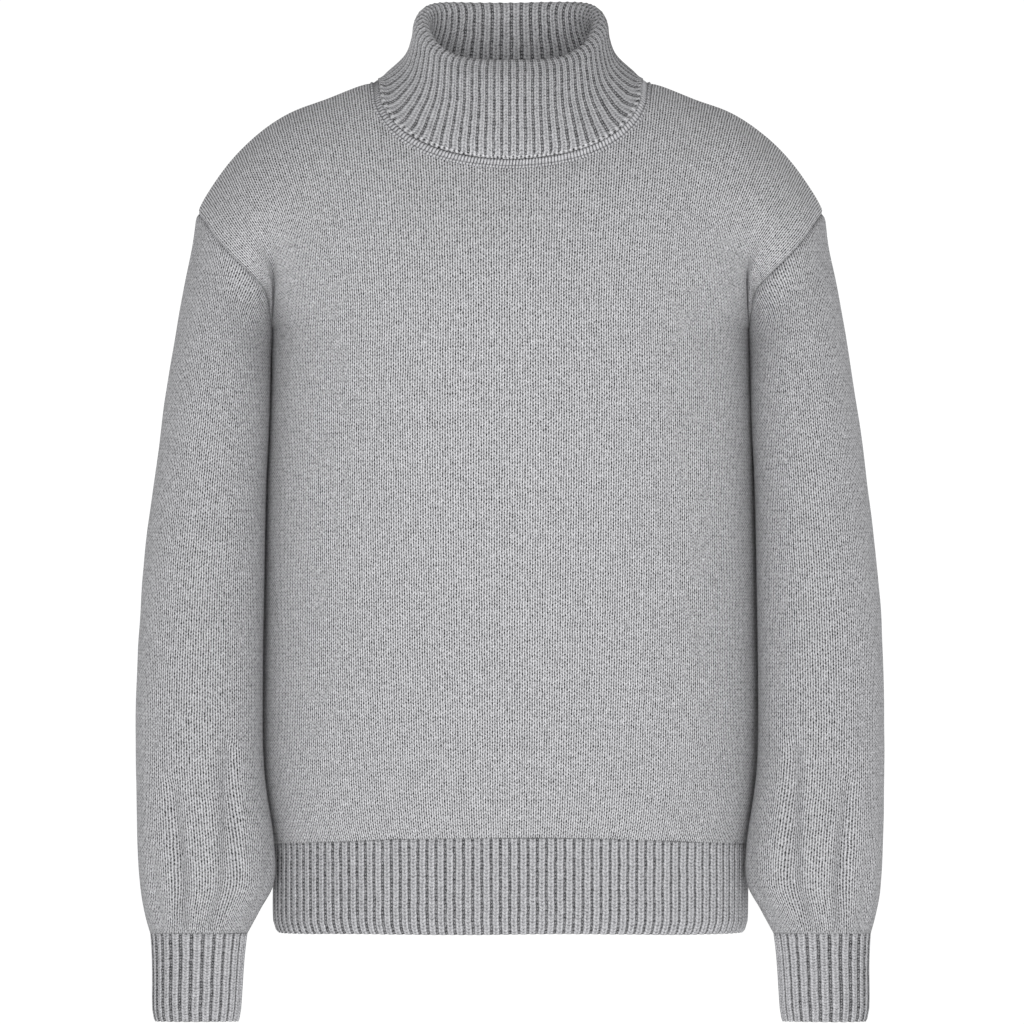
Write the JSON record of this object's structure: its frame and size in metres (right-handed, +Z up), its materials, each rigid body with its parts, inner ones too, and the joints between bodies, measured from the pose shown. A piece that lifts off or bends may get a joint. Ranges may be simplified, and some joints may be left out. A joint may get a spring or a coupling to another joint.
{
  "type": "turtleneck sweater",
  "caption": "Hollow long-sleeved turtleneck sweater in plain knit, with a folded ribbed collar, ribbed cuffs and hem, filled out as worn.",
  "frame": {"origin": "middle of the neck opening, level with the tops of the shoulders, where the wearer carries the sweater", "axes": "+Z up, -Y towards the front of the wearer, +X towards the wearer's left"},
  "size_m": [0.571, 0.2542, 0.781],
  "materials": {
    "plain_knit": "light grey melange wool, plain stitch",
    "sleeve_knit": "light grey melange wool, finer plain stitch",
    "rib_knit": "grey melange wool, one by one rib",
    "linking_band": "grey melange wool, narrow linked band",
    "collar_knit": "grey melange wool, one by one rib, folded"
  },
  "bodies": {
    "root": {"front_panel": "plain_knit", "back_panel": "plain_knit", "sleeve_left": "sleeve_knit", "sleeve_right": "sleeve_knit", "cuff_left": "rib_knit", "cuff_right": "rib_knit", "hem_rib_front": "rib_knit", "hem_rib_back": "rib_knit", "neck_seam": "linking_band", "collar": "collar_knit"}
  },
  "joints": []
}
